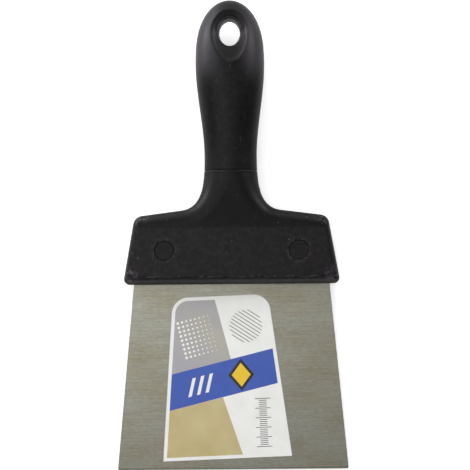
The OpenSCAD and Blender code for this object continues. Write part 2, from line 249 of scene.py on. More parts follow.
def moulded_polypropylene(name, dark, pale, marked, roughness, gloss, speck_share, scuffed=(), flecked=(),
                          shaded_from=None, flank_highlight_from=None, joint_highlight_at=None):
    """Satin black plastic, clouded from dark to pale, with marks in the colour marked. Scuffed holds the
    edges of a worn band, and flecked holds points, each with the settings of its flecks. The last three
    place painted shade above a height, a painted highlight on the grip's upper flanks, and a pale painted
    highlight in the joint."""
    material, tree, place = new_material(name)
    spot = add(tree, SPLIT, Vector=place).outputs
    height = spot["Y"]
    side = add(tree, MATH, SIZE, in_0=spot["X"])
    folded = add(tree, COMBINE, X=side, Y=height)

    tints = []
    # Painted shade: the plastic turns darker above a given height.
    if shaded_from:
        painted_shade_mask = add(tree, MAP, Value=height, From_Min=shaded_from - 1, From_Max=shaded_from, To_Max=0.75)
        tints.append((painted_shade_mask, PAINTED_SHADE))
    # Painted highlight on the upper flanks of the grip.
    if flank_highlight_from:
        tints.append((painted_flank_highlight(tree, height, side, flank_highlight_from), FLANK_HIGHLIGHT))
    # Painted highlight: a pale line in the shaded groove of the joint.
    if joint_highlight_at:
        tints.append((painted_joint_highlight(tree, height, side, joint_highlight_at), JOINT_HIGHLIGHT))
    marks = pale_specks(tree, place, speck_share)
    others = [hair_scratches(tree, place)]
    if scuffed:
        others.append(scuffed_edge(tree, place, height, *scuffed))
    others += [flecks_near(tree, place, folded, at, **kind) for at, kind in flecked]
    for other in others:
        marks = add(tree, MATH, MOST, in_0=marks, in_1=other)
    tints.append((marks, marked))

    cloud = add(tree, NOISE, Vector=place, Scale=1 / 2.2, Detail=3.0)
    cloudy = add(tree, MAP, Value=cloud, From_Min=0.38, From_Max=0.66)
    tone = add(tree, MIX, COLOURS, in_0=cloudy, in_6=linear(dark), in_7=linear(pale)).outputs[2]
    for mask, colour in tints:
        tone = add(tree, MIX, COLOURS, in_0=mask, in_6=tone, in_7=linear(colour)).outputs[2]
    haze = add(tree, NOISE, Vector=place, Scale=1 / 14, Detail=3.0)
    sheen = add(tree, MAP, Value=haze, From_Min=0.3, From_Max=0.7, To_Min=roughness - 0.03,
                To_Max=roughness + 0.04)
    grain = add(tree, NOISE, Vector=place, Scale=1 / 0.7, Detail=3.0)
    peel = add(tree, BUMP, Strength=0.15, Distance=0.05 * MM, Height=grain)
    surface(tree, Base_Color=tone, Roughness=sheen, Normal=peel, IOR=1.49, Specular_IOR_Level=gloss)
    return material


# %% The three kinds of moulding, and where their wear, painted shade and painted highlights lie, in flat millimetres
groove_y = 155.0
rivet_x, rivet_y, ring_r = 34.59, 114.1, 5.1
lip_edge, face_top, flank_highlight_foot = (99.8, 101.2), 126.3, 196.0
lip_corner_at, top_glint_at = (52.6, 101.0), (46.8, 133.0)
SEAT_RIM = {"reach": ring_r + 2.5, "full": ring_r, "most": 0.45, "size": 1.2, "detail": 2.0}
# The flecks at the lip corners are wear, and those at the top corners are painted glints.
CORNER_WEAR_AND_GLINT = {"reach": 6.0, "full": 2.0, "most": 1.0, "size": 1.6, "detail": 3.0}
# The holder takes painted shade above its face and a pale painted highlight in the joint.
HOLDER_PLASTIC = moulded_polypropylene(
    "holder_moulded_polypropylene", "#110f11", "#1c191c", "#504c50", roughness=0.40, gloss=0.2,
    speck_share=0.35, scuffed=lip_edge, shaded_from=face_top, joint_highlight_at=groove_y,
    flecked=(((rivet_x, rivet_y), SEAT_RIM), (lip_corner_at, CORNER_WEAR_AND_GLINT), (top_glint_at, CORNER_WEAR_AND_GLINT)))
# The grip takes a painted highlight on its upper flanks and a pale painted highlight in the joint.
GRIP_PLASTIC = moulded_polypropylene(
    "grip_moulded_polypropylene", "#060506", "#101010", "#4c4a4c", roughness=0.39, gloss=0.19,
    speck_share=0.3, flank_highlight_from=flank_highlight_foot, joint_highlight_at=groove_y)
PLUG_PLASTIC = moulded_polypropylene(
    "plug_moulded_polypropylene", "#0d0b0d", "#181518", "#464446", roughness=0.48, gloss=0.22,
    speck_share=0.4)
print("plastics:", HOLDER_PLASTIC.name, GRIP_PLASTIC.name, PLUG_PLASTIC.name)

# %% [markdown]
# ### Rolled spring steel
# The blade is cold rolled spring steel, ground across its width. The rolling leaves a
# cloudy grey, warm from the light oil on it, and the grinding leaves fine scratches that
# all run one way. They spread reflections along the knife, so the sheet looks soft and
# never like a mirror. The real scratches are about 0.05 mm wide, too fine to show. Here
# they are 0.9 mm wide and 22 mm long, with finer ones inside, and shorter pits break them
# up. A metal keeps the default IOR.

# %% Rolled spring steel
def rolled_spring_steel(name, pale, dark, oily):
    """Ground sheet steel with scratches across the blade and cloudy mill marks."""
    material, tree, place = new_material(name)
    short = add(tree, MAPPING, Vector=place, Scale=(1 / 2.6, 1 / 0.9, 1 / 9))
    pit = add(tree, NOISE, Vector=short, Scale=1.0, Detail=2.0, Roughness=0.6)
    long = add(tree, MAPPING, Vector=place, Scale=(1 / 22, 1 / 0.9, 1 / 9))
    scratch = add(tree, NOISE, Vector=long, Scale=1.0, Detail=3.0, Roughness=0.6)
    cloud = add(tree, MAPPING, Vector=place, Scale=(1 / 30, 1 / 16, 1 / 30))
    oil = add(tree, NOISE, Vector=cloud, Scale=1.0, Detail=3.0)
    mark = add(tree, MATH, PLUS, in_0=pit, in_1=scratch)
    shade = add(tree, MAP, Value=mark, From_Min=0.65, From_Max=1.35)
    film = add(tree, MAP, Value=oil, From_Min=0.4, From_Max=0.7)
    metal = add(tree, MIX, COLOURS, in_0=shade, in_6=linear(dark), in_7=linear(pale))
    tone = add(tree, MIX, {**COLOURS, "blend_type": "MULTIPLY"}, in_0=film, in_6=metal.outputs[2],
               in_7=linear(oily))
    sheen = add(tree, MAP, Value=mark, From_Min=0.7, From_Max=1.3, To_Min=0.46, To_Max=0.38)
    ground = add(tree, BUMP, Strength=0.25, Distance=0.02 * MM, Height=scratch)
    surface(tree, Base_Color=tone.outputs[2], Roughness=sheen, Normal=ground, Metallic=1.0)
    return material


BLADE_STEEL = rolled_spring_steel("rolled_spring_steel", "#aeada0", "#97968b", "#f4eee1")
print("metal:", BLADE_STEEL.name)

# %% [markdown]
# ### Printed vinyl film and drawn rivet wire
# The label is white vinyl film. It is smoother than the plastic, so it takes a slight
# gloss, and it lies a little wavy on the steel. Inks are thin coats of the same film. The
# rivets are drawn aluminium wire, hidden under their plugs.

# %% Printed vinyl film and drawn aluminium
def vinyl_film(name, colour, faded, fade_size=12.0):
    """Film or ink whose tone drifts slightly, over a faint ripple of the film."""
    material, tree, place = new_material(name)
    drift = add(tree, NOISE, Vector=place, Scale=1 / fade_size, Detail=3.0)
    share = add(tree, MAP, Value=drift, From_Min=0.35, From_Max=0.65)
    tone = add(tree, MIX, COLOURS, in_0=share, in_6=linear(colour), in_7=linear(faded))
    wave = add(tree, NOISE, Vector=place, Scale=1 / 5, Detail=1.0)
    ripple = add(tree, BUMP, Strength=0.3, Distance=0.05 * MM, Height=wave)
    surface(tree, Base_Color=tone.outputs[2], Roughness=0.38, Normal=ripple, IOR=1.5)
    return material


def drawn_aluminium(name, colour):
    """Soft rivet wire with fine marks around it."""
    material, tree, place = new_material(name)
    marks = add(tree, NOISE, Vector=place, Scale=1 / 0.5, Detail=2.0)
    sheen = add(tree, MAP, Value=marks, To_Min=0.3, To_Max=0.5)
    surface(tree, Base_Color=linear(colour), Roughness=sheen, Metallic=1.0)
    return material


LABEL_WHITE = vinyl_film("white_vinyl_film", "#f5f5f2", "#efefeb")
INK_BLUE = vinyl_film("blue_ink", "#3f5cb4", "#3c58ad")
INK_SAGE = vinyl_film("sage_ink", "#b4b1a2", "#a9a7ae", 22.0)
INK_OCHRE = vinyl_film("ochre_ink", "#c9bb8c", "#bfae7a", 16.0)
INK_YELLOW = vinyl_film("yellow_ink", "#efc92e", "#e9bf26")
INK_BLACK = vinyl_film("black_ink", "#20201f", "#262625")
RIVET_METAL = drawn_aluminium("drawn_aluminium", "#c8c8c4")
print(f"{len(bpy.data.materials)} materials so far")

# %% [markdown]
# ## CAD pieces that keep their shape
# The blade, the plugs, the rivets and the label's film are flat or turned, so the CAD
# solids are already right. They only take their materials.

# %% Dress the CAD pieces
for node, piece in frame["nodes"].items():
    if node == "blade":
        finish = BLADE_STEEL
    elif node.startswith("plug"):
        finish = PLUG_PLASTIC
    elif node.startswith("rivet"):
        finish = RIVET_METAL
    else:
        finish = LABEL_WHITE
    piece.data.materials.clear()
    piece.data.materials.append(finish)
    print(f"{node}: {finish.name}")

# %% [markdown]
# ## The grip
# The grip is one moulding that follows a rule from end to end: a round neck narrows to a
# waist, swells to a belly and closes in a blunt dome, and every cross-section is a slightly
# squared ellipse. A shape like that could be sculpted, or lofted by hand. Geometry Nodes
# suit it better: a flat grid is rolled up by formulas, and the sizes stay named inputs.
# Around the hanging hole the tree cuts an egg-shaped scoop on each face. Each cutter is the
# convex hull of a few discs.

# %% Sizes of the grip, in millimetres
groove_cut = 0.22
neck_w, neck_t, neck_slope = 27.6, 20.4, math.radians(3.8)
waist_w, waist_rise = 27.2, 7.4
belly_w, belly_t, belly_power, belly_rise = 35.7, 27.0, 2.3, 48.0
crown_h, crown_power, tip_power = 33.3, 2.64, 1.91
foot_w = neck_w - 4 * groove_cut * math.tan(neck_slope)
print(f"the grip ends {groove_y + waist_rise + belly_rise + crown_h:.1f} mm from the working edge")

# %% The grip's tree and its inputs
loft = bpy.data.node_groups.new("Grip", "GeometryNodeTree")
loft.is_modifier = True
GRIP_INPUTS = {"Foot width": foot_w, "Foot thickness": neck_t, "Waist width": waist_w,
               "Belly width": belly_w, "Belly thickness": belly_t, "Groove": groove_cut,
               "Waist rise": waist_rise, "Belly rise": belly_rise, "Crown": crown_h}
socket_ids = {}
for title in GRIP_INPUTS:
    socket = loft.interface.new_socket(title, in_out="INPUT", socket_type="NodeSocketFloat")
    socket_ids[title] = socket.identifier
loft.interface.new_socket("Geometry", in_out="OUTPUT", socket_type="NodeSocketGeometry")
given = add(loft, "NodeGroupInput").outputs
print("inputs:", ", ".join(GRIP_INPUTS))

# %% [markdown]
# The grid's rows become sections. Row 0 is pinched to a point to close the bottom, rows 1
# and 2 make half of the V groove, the next rows narrow to the waist and rise to the belly,
# and the last ones run through a quarter turn to the tip.

# %% A grid with a row for each section
GROOVE_ROW, WAIST_ROW, BELLY_ROW, TIP_ROW = 2, 14, 84, 150
ROUND_COLUMNS = 144
grid = add(loft, "GeometryNodeMeshGrid", Size_X=1.0, Size_Y=1.0,
           Vertices_X=ROUND_COLUMNS + 1, Vertices_Y=TIP_ROW + 1)
spot = add(loft, SPLIT, Vector=add(loft, "GeometryNodeInputPosition"))
row = add(loft, MAP, Value=spot.outputs["Y"], From_Min=-0.5, From_Max=0.5, To_Max=TIP_ROW)
turn = add(loft, MAP, Value=spot.outputs["X"], From_Min=-0.5, From_Max=0.5, To_Max=-math.tau)

# %% How far along each stretch a row is
pinch = add(loft, MAP, Value=row, From_Max=1)
groove_depth = add(loft, MAP, Value=row, From_Min=1, From_Max=GROOVE_ROW, To_Min=given["Groove"], To_Max=0.0)
below_waist = add(loft, MAP, Value=row, From_Min=GROOVE_ROW, From_Max=WAIST_ROW, To_Min=1.0, To_Max=0.0)
narrowing = add(loft, MATH, TO_POWER, in_0=below_waist, in_1=2.0)
swell = add(loft, MAP, SOFT, Value=row, From_Min=WAIST_ROW, From_Max=BELLY_ROW)
quarter = add(loft, MAP, Value=row, From_Min=BELLY_ROW, From_Max=TIP_ROW, To_Max=math.pi / 2)
closing = add(loft, MATH, {"operation": "COSINE"}, in_0=quarter)
side_closing = add(loft, MATH, TO_POWER, in_0=closing, in_1=2 / tip_power)

# %% Width, thickness and place of each section
low_width = add(loft, MIX, in_0=narrowing, in_2=given["Waist width"], in_3=given["Foot width"])
width = add(loft, MIX, in_0=swell, in_2=low_width, in_3=given["Belly width"])
thickness = add(loft, MIX, in_0=swell, in_2=given["Foot thickness"], in_3=given["Belly thickness"])
halves = []
for size, share in ((width, side_closing), (thickness, closing)):
    half = add(loft, MATH, TIMES, in_0=size, in_1=0.5)
    grooved = add(loft, MATH, LESS, in_0=half, in_1=groove_depth)
    closed = add(loft, MATH, TIMES, in_0=grooved, in_1=share)
    halves.append(add(loft, MATH, TIMES, in_0=closed, in_1=pinch))
past_groove = add(loft, MAP, Value=row, From_Min=1, From_Max=GROOVE_ROW, To_Min=groove_y,
                  To_Max=groove_y + groove_cut)
to_waist = add(loft, MAP, Value=row, From_Min=GROOVE_ROW, From_Max=WAIST_ROW,
               To_Max=add(loft, MATH, LESS, in_0=given["Waist rise"], in_1=given["Groove"]))
to_belly = add(loft, MAP, Value=row, From_Min=WAIST_ROW, From_Max=BELLY_ROW, To_Max=given["Belly rise"])
sine = add(loft, MATH, {"operation": "SINE"}, in_0=quarter)
climb = add(loft, MATH, TO_POWER, in_0=sine, in_1=2 / crown_power)
to_tip = add(loft, MATH, TIMES, in_0=climb, in_1=given["Crown"])
along = past_groove
for stretch in (to_waist, to_belly, to_tip):
    along = add(loft, MATH, PLUS, in_0=along, in_1=stretch)
print(f"{TIP_ROW + 1} sections")

# %% Roll the grid into sections
squareness = add(loft, MIX, in_0=swell, in_2=2.0, in_3=belly_power)
exponent = add(loft, MATH, OVER, in_0=2.0, in_1=squareness)
across = []
for wave, half in zip(("COSINE", "SINE"), halves):
    swing = add(loft, MATH, {"operation": wave}, in_0=turn)
    size = add(loft, MATH, SIZE, in_0=swing)
    squared = add(loft, MATH, TO_POWER, in_0=size, in_1=exponent)
    side_of = add(loft, MATH, {"operation": "SIGN"}, in_0=swing)
    signed = add(loft, MATH, TIMES, in_0=squared, in_1=side_of)
    across.append(add(loft, MATH, TIMES, in_0=signed, in_1=half))
placed = add(loft, COMBINE, X=across[0], Y=along, Z=across[1])
rolled = add(loft, "GeometryNodeSetPosition", Geometry=grid, Position=placed)
JOIN_WITHIN = 0.002
body = add(loft, "GeometryNodeMergeByDistance", Geometry=rolled, Distance=JOIN_WITHIN)
print(f"{ROUND_COLUMNS} points round each section")

# %% [markdown]
# The scoop has a bed and a throat. The bed runs from an egg-shaped rim, which lies just
# under the grip's face and so leaves a small step there, down to an oval ring a little
# larger than the hole. The throat falls steeply from that ring to the hole's mouth, which
# flares a little. It starts inside the hole's own wall and ends inside the bed, so no two
# cutters share a face, which a boolean handles badly.

# %% Cutters for the scoops and the hole
hole_w, hole_l, web_t, hole_flare = 10.9, 14.1, 10.6, 0.3
ring_w, ring_l, ring_z, ring_dip = 13.2, 16.0, 10.1, 0.24
scoop_w, scoop_drop, scoop_step = 18.8, 16.2, 0.55
scoop_top_r, scoop_rise, top_step = 7.8, 10.8, 0.15
INSIDE, BEYOND = 0.3, 20.0
OVAL_STEPS, DISC_CORNERS = 8, 96


def grip_z(x, y):
    """Half thickness of the grip at x, and y from the hole's middle, between belly and tip."""
    share = max(0.0, (hole_y + y - (groove_y + waist_rise + belly_rise)) / crown_h)
    quarter_turn = math.asin(share ** (crown_power / 2))
    half_w = belly_w / 2 * math.cos(quarter_turn) ** (2 / tip_power)
    return belly_t / 2 * math.cos(quarter_turn) * (1 - (x / half_w) ** belly_power) ** (1 / belly_power)


def oval(width, length, z, ends=(-1, 1)):
    """Discs of radius, y and z whose hull is an ellipse, or with ends (-1, 0) its lower half."""
    spread = (length ** 2 - width ** 2) / 4
    steps = [ends[0] + (ends[1] - ends[0]) * step / OVAL_STEPS for step in range(OVAL_STEPS + 1)]
    ys = [2 * spread / length * step for step in steps]
    return [(width / 2 * math.sqrt(1 - y * y / spread), y, z) for y in ys]


web_z = web_t / 2
rim = [(radius, y, grip_z(radius, y) - scoop_step)
       for radius, y, _ in oval(scoop_w, 2 * scoop_drop, 0, ends=(-1, 0))]
rim.append((scoop_top_r, scoop_rise - scoop_top_r, grip_z(0, scoop_rise) - top_step))
ring = [(radius, y, ring_z - ring_dip * y) for radius, y, _ in oval(ring_w, ring_l, 0)]
bed_discs = ring + rim + [(radius, y, BEYOND) for radius, y, _ in rim]
throat_discs = (oval(hole_w - 2 * INSIDE, hole_l - 2 * INSIDE, web_z - hole_flare - INSIDE)
                + oval(hole_w + 2 * hole_flare, hole_l + 2 * hole_flare, web_z)
                + [(radius, y, z + INSIDE) for radius, y, z in ring])
hole_discs = oval(hole_w, hole_l, -BEYOND) + oval(hole_w, hole_l, BEYOND)
print(f"discs: hole {len(hole_discs)}, bed {len(bed_discs)}, throat {len(throat_discs)}")


def hull_of(discs):
    """The convex hull of discs given as radius, y from the hole's middle, and z."""
    gathered = add(loft, "GeometryNodeJoinGeometry")
    for radius, y, z in discs:
        disc = add(loft, "GeometryNodeMeshCircle", Vertices=DISC_CORNERS, Radius=radius)
        moved = add(loft, "GeometryNodeTransform", Geometry=disc, Translation=(0.0, hole_y + y, z))
        loft.links.new(moved.outputs[0], gathered.inputs[0])
    return add(loft, "GeometryNodeConvexHull", Geometry=gathered)


# %% Cut them out of the grip
cutters = [hull_of(hole_discs)]
for discs in (bed_discs, throat_discs):
    front = hull_of(discs)
    cutters += [front, add(loft, "GeometryNodeTransform", Geometry=front, Rotation=(0.0, math.pi, 0.0))]
shaped = body
for cutter in cutters:
    shaped = add(loft, "GeometryNodeMeshBoolean", {"operation": "DIFFERENCE", "solver": "MANIFOLD"},
                 Mesh_1=shaped, Mesh_2=cutter)
real = add(loft, "GeometryNodeRealizeInstances", Geometry=shaped)
dressed = add(loft, "GeometryNodeSetMaterial", Geometry=real, Material=GRIP_PLASTIC)
add(loft, "NodeGroupOutput", Geometry=dressed)
print(f"the grip's tree has {len(loft.nodes)} nodes")

# %% [markdown]
# Moulded edges are never sharp. A fine voxel remesh turns the cut mesh into an even skin,
# and a few smoothing passes round its creases by a few tenths of a millimetre.

# %% Evaluate the grip and round its creases
VOXEL = 0.36
source = add_object("grip_source", bpy.data.meshes.new("grip_source"))
nodes_step = source.modifiers.new("Grip", "NODES")
nodes_step.node_group = loft
for title, value in GRIP_INPUTS.items():
    nodes_step[socket_ids[title]] = value
skin_step = source.modifiers.new("Even skin", "REMESH")
skin_step.mode = "VOXEL"
skin_step.voxel_size = VOXEL
skin_step.use_smooth_shade = True
soften_step = source.modifiers.new("Soft creases", "SMOOTH")
soften_step.factor = 0.5
soften_step.iterations = 6


def plain_mesh(obj):
    """The mesh that an object's modifiers make; the object itself is then removed."""
    seen = obj.evaluated_get(bpy.context.evaluated_depsgraph_get())
    mesh = bpy.data.meshes.new_from_object(seen)
    obj.modifiers.clear()
    bpy.data.objects.remove(obj)
    return mesh


grip = lay_down("grip_skin", plain_mesh(source), GRIP_PLASTIC)
grip.data.shade_smooth()
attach(grip, "root")
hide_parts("grip")
print(f"grip: {len(grip.data.polygons)} faces")

# %% [markdown]
# ## The holder
# The holder is a flat bar that flows into the neck. Seen from the front it is one outline.
# Seen from the side, its faces round off towards that outline, tightly along the ends and
# broadly along the shoulders. So its height at any point depends on how far that point is
# from the outline. Numpy works that out for a dense grid of points, row by row, which is
# shorter than a node tree for a rule that looks along a whole outline. The blade's slot
# and the rivet seats are then cut out.

# %% Sizes of the holder, in millimetres
lip_y = 96.4
lip_w, top_w, holder_h, holder_t = 112.57, 100.03, 35.2, 15.0
neck_y = groove_y - lip_y
flare_w, flare_lean, flare_pull = 12.1, 0.82, 0.47
shoulder_slope = math.radians(7.2)
flare_y = holder_h + ((top_w - neck_w) / 2 - flare_w) * math.tan(shoulder_slope)
flare_h = neck_y - groove_cut - flare_y
lip_corner_r, shoulder_corner_r = 3.0, 5.0
lip_round, side_round, shoulder_round = 4.7, 2.8, 5.8
upright, neck_upright, crease, crown_ease = 0.42, 0.03, 0.78, 1.3
LIP_STEPS, SIDE_STEPS, TOP_STEPS, SHOULDER_STEPS, FLARE_STEPS = 14, 60, 22, 22, 48
print(f"the flare starts {flare_y:.2f} mm above the lip")


# %% The holder's outline, right half, from the lip up to the groove
def arc_corner(before, at, after, radius, steps):
    """Points of the arc that rounds the corner between two straight edges."""
    before, at, after = (np.array(p, float) for p in (before, at, after))
    u, v = ((p - at) / np.linalg.norm(p - at) for p in (before, after))
    half_angle = math.acos(u @ v) / 2
    centre = at + (u + v) / np.linalg.norm(u + v) * radius / math.sin(half_angle)
    start, end = (at + w * radius / math.tan(half_angle) - centre for w in (u, v))
    first = math.atan2(start[1], start[0])
    sweep = math.atan2(start[0] * end[1] - start[1] * end[0], start @ end)
    turns = (first + sweep * i / steps for i in range(steps + 1))
    return [centre + radius * np.array((math.cos(turn), math.sin(turn))) for turn in turns]


def banded(points, start, end):
    """Give each point the width of its rounded band, from start to end."""
    last = max(1, len(points) - 1)
    return [(p[0], p[1], start + (end - start) * i / last) for i, p in enumerate(points)]


lip_corner, top_corner = (lip_w / 2, 0), (top_w / 2, holder_h)
flare_foot = np.array((neck_w / 2 + flare_w, flare_y))
flare_top = np.array((neck_w / 2, flare_y + flare_h))
lean = flare_lean * flare_w * np.array((-1, math.tan(shoulder_slope)))
pull = flare_pull * flare_h * np.array((math.tan(neck_slope), -1))
lip_arc = arc_corner((0, 0), lip_corner, top_corner, lip_corner_r, LIP_STEPS)
top_arc = arc_corner(lip_corner, top_corner, flare_foot, shoulder_corner_r, TOP_STEPS)
side = [lip_arc[-1] + (top_arc[0] - lip_arc[-1]) * i / SIDE_STEPS for i in range(1, SIDE_STEPS)]
shoulder = [top_arc[-1] + (flare_foot - top_arc[-1]) * i / SHOULDER_STEPS
            for i in range(1, SHOULDER_STEPS + 1)]
flare = [(1 - s) ** 3 * flare_foot + 3 * s * (1 - s) ** 2 * (flare_foot + lean)
         + 3 * s ** 2 * (1 - s) * (flare_top + pull) + s ** 3 * flare_top
         for s in (i / FLARE_STEPS for i in range(1, FLARE_STEPS + 1))]
outline = np.array(
    banded(lip_arc, lip_round, side_round) + banded(side, side_round, side_round)
    + banded(top_arc, side_round, shoulder_round) + banded(shoulder, shoulder_round, shoulder_round)
    + banded(flare, shoulder_round, neck_w / 2))
edges = np.vstack(([(0, 0, lip_round)], outline))
print(f"holder outline: {len(outline)} points")


# %% [markdown]
# A point's height comes from how far inside the outline it lies, as a share of the rounded
# band there. The wall stands upright first and then bends over, short of flat, which
# leaves a crease all round the face. Up the neck both fade out and the sections turn round.

# %% The holder's height over its outline
def smoothstep(t):
    """0 before 0, 1 after 1, and a soft S between."""
    t = np.clip(t, 0, 1)
    return t * t * (3 - 2 * t)


def holder_heights(x, y):
    """Half thickness of the holder at points x, y, with y from the lip."""
    points = np.stack((np.abs(x), y), -1)[:, None, :]
    starts, runs = edges[:-1, :2], edges[1:, :2] - edges[:-1, :2]
    share = np.clip(((points - starts) * runs).sum(-1) / (runs * runs).sum(-1), 0, 1)
    distance = np.linalg.norm(points - starts - share[..., None] * runs, axis=-1)
    inset = np.minimum(1, (distance / ((edges[:-1, 2] + edges[1:, 2]) / 2)).min(1))
    crown_start = holder_h - shoulder_round
    climb_share = np.clip((y - crown_start) / (neck_y - crown_start), 0, 1)
    crown = (np.sin(np.pi / 2 * climb_share) ** crown_ease
             * (1 - smoothstep((np.abs(x) - neck_w / 2) / flare_w)))
    full = holder_t / 2 + (neck_t - holder_t) / 2 * crown
    up_neck = smoothstep((y - holder_h) / flare_h)
    wall = upright + (neck_upright - upright) * up_neck
    bend = crease + (1 - crease) * up_neck
    rise = np.sqrt(1 - (1 - bend * inset) ** 2) / np.sqrt(1 - (1 - bend) ** 2)
    return full * (wall + (1 - wall) * rise)


COLUMNS = 44
spread = np.sin(np.pi / 2 * np.linspace(-1, 1, 2 * COLUMNS + 1))
rings = []
for w, y, _ in outline:
    z = holder_heights(w * spread, np.full_like(spread, y))
    front = np.stack((w * spread, np.full_like(spread, lip_y + y), z), -1)
    rings.append(np.vstack((front, front[::-1] * (1, 1, -1))))
groove_scale = np.array([(half - groove_cut) / half for half in (neck_w / 2, neck_t / 2)])
rings.append(rings[-1] * (groove_scale[0], 1, groove_scale[1]) + (0, groove_cut, 0))
print(f"holder: {len(rings)} rings of {len(rings[0])} points")


# %% Join the rings into a closed skin
def skin(name, rings):
    """A closed mesh through rings of points whose front and rear halves mirror each other."""
    shape = bmesh.new()
    rows = [[shape.verts.new(point) for point in ring] for ring in rings]
    count = len(rows[0])
    for low, high in zip(rows, rows[1:]):
        for i in range(count):
            j = (i + 1) % count
            shape.faces.new((low[i], low[j], high[j], high[i]))
    foot, head = rows[0], rows[-1]
    for i in range(count // 2 - 1):
        shape.faces.new((foot[i], foot[-1 - i], foot[-2 - i], foot[i + 1]))
        shape.faces.new((head[i], head[i + 1], head[-2 - i], head[-1 - i]))
    bmesh.ops.recalc_face_normals(shape, faces=shape.faces)
    return mesh_of(name, shape)


holder_source = add_object("holder_source", skin("holder_source", rings))

# %% [markdown]
# The slot takes the blade's root, with a little room all round. Each plug's seat is a
# plain well with a small chamfer at the face, so it takes two cutters.

# %% A cutter for the slot
blade_t, blade_lip_w, blade_edge_w, blade_root_y = 0.6, 101.78, 120.0, 122.4
slot_gap, slot_side_gap, past_lip = 0.1, 0.05, 1.0
slot_half = (blade_t + slot_gap) / 2
taper = (blade_edge_w - blade_lip_w) / 2 / lip_y
slot = bmesh.new()
corners = [(s * (blade_lip_w / 2 - taper * (y - lip_y) + slot_side_gap), y) for y, s in
           ((lip_y - past_lip, -1), (lip_y - past_lip, 1), (blade_root_y, 1), (blade_root_y, -1))]
floor_face = slot.faces.new([slot.verts.new((x, y, -slot_half)) for x, y in corners])
raised = bmesh.ops.extrude_face_region(slot, geom=[floor_face])
bmesh.ops.translate(slot, vec=(0, 0, 2 * slot_half),
                    verts=[v for v in raised["geom"] if isinstance(v, bmesh.types.BMVert)])
bmesh.ops.recalc_face_normals(slot, faces=slot.faces)
print(f"slot {2 * slot_half:.1f} mm high, {blade_root_y - lip_y:.0f} mm deep")

# %% Cutters for the seats
plug_d, seat_floor, seat_chamfer = 10.3, 3.2, 0.1
face_z, well_top, cone_top = holder_t / 2, 8.5, 9.0
WELL, FLARED = (0.0, seat_floor, well_top), (1.0, face_z - seat_chamfer, cone_top)
holder_cutters = [slot]
for side_sign in (-1, 1):
    for face_sign in (-1, 1):
        for widening, low, high in (WELL, FLARED):
            seat = bmesh.new()
            bmesh.ops.create_cone(seat, cap_ends=True, segments=96, depth=high - low, radius1=plug_d / 2,
                                  radius2=plug_d / 2 + widening * (high - low))
            bmesh.ops.translate(seat, vec=(0, 0, (high + low) / 2), verts=seat.verts)
            if face_sign < 0:
                bmesh.ops.rotate(seat, matrix=Matrix.Rotation(math.pi, 3, "Y"), verts=seat.verts)
            bmesh.ops.translate(seat, vec=(side_sign * rivet_x, rivet_y, 0), verts=seat.verts)
            holder_cutters.append(seat)
print(f"{len(holder_cutters)} cutters for the holder")

# %% Cut the holder and lay it down
cutter_objects = []
for number, shape in enumerate(holder_cutters):
    name = f"cutter_{number}"
    tool = add_object(name, mesh_of(name, shape))
    cut_step = holder_source.modifiers.new(name, "BOOLEAN")
    cut_step.operation = "DIFFERENCE"
    cut_step.object = tool
    cut_step.solver = "EXACT"
    cutter_objects.append(tool)
holder = lay_down("holder_skin", plain_mesh(holder_source), HOLDER_PLASTIC)
for tool in cutter_objects:
    bpy.data.objects.remove(tool)
holder.data.shade_smooth()
SHARP_FROM = math.radians(32)
holder.data.set_sharp_from_angle(angle=SHARP_FROM)
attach(holder, "root")
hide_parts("holder")
print(f"holder: {len(holder.data.polygons)} faces")

# %% [markdown]
# ## The print on the label
# The label is a plain generic design: a slanted blue band, two tinted panels, a ruled
# round, a field of dots and a scale of ticks. Each ink is a real thin layer of its own, a
# few hundredths of a millimetre above the film. A mask in the shader would blur at its
# edges, while a cut shape stays sharp.

# %% The label's own frame, in label millimetres u and v
label_w, label_h, label_slope = 67.0, 84.6, math.radians(5.9)
label_margin, label_corner_r = 1.8, 8.6
label_x, label_foot, label_turn = -2.9, 5.6, math.radians(2.1)
film_t, INK_LAYER = 0.12, 0.02
film_top = blade_t / 2 + film_t
ON_LABEL = Matrix.Translation((label_x, label_foot, film_top)) @ Matrix.Rotation(label_turn, 4, "Z")
field_foot, field_top = label_margin, label_h - label_margin
print(f"label {label_w} by {label_h} mm")


def field_edge(v):
    """Half width of the printed field at height v of the label."""
    return label_w / 2 - v * math.tan(label_slope) - label_margin


def print_on_label(name, mesh, ink, layer):
    """Lay a flat printed mesh on the label, so many layers of ink above the film."""
    piece = lay_down(name, mesh, ink, ON_LABEL @ Matrix.Translation((0, 0, layer * INK_LAYER)))
    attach(piece, "root")
    print(f"{name}: {len(mesh.polygons)} faces")


def patch(name, points, ink, layer=1):
    """Print one flat shape from its corner points."""
    shape = bmesh.new()
    shape.faces.new([shape.verts.new((u, v, 0)) for u, v in points])
    bmesh.ops.triangulate(shape, faces=shape.faces)
    mesh = mesh_of(name, shape)
    for face in mesh.polygons:
        if face.normal.z < 0:
            face.flip()
    print_on_label(name, mesh, ink, layer)


# %% The band
BAND_LEFT, BAND_RIGHT, BAND_HIGH = 26.0, 38.0, 18.5


def band_v(u, up):
    """Height of the band's line at u; up is 0 on its lower edge and 1 on its upper edge."""
    left, right = -field_edge(BAND_LEFT), field_edge(BAND_RIGHT)
    return BAND_LEFT + (BAND_RIGHT - BAND_LEFT) * (u - left) / (right - left) + BAND_HIGH * up


def on_side(side, up):
    """Where the band's edge meets the left (-1) or right (1) side of the printed field."""
    v = band_v(side * field_edge(band_v(0, up)), up)
    return side * field_edge(v), v


patch("print_band", [on_side(-1, 0), on_side(1, 0), on_side(1, 1), on_side(-1, 1)], INK_BLUE)

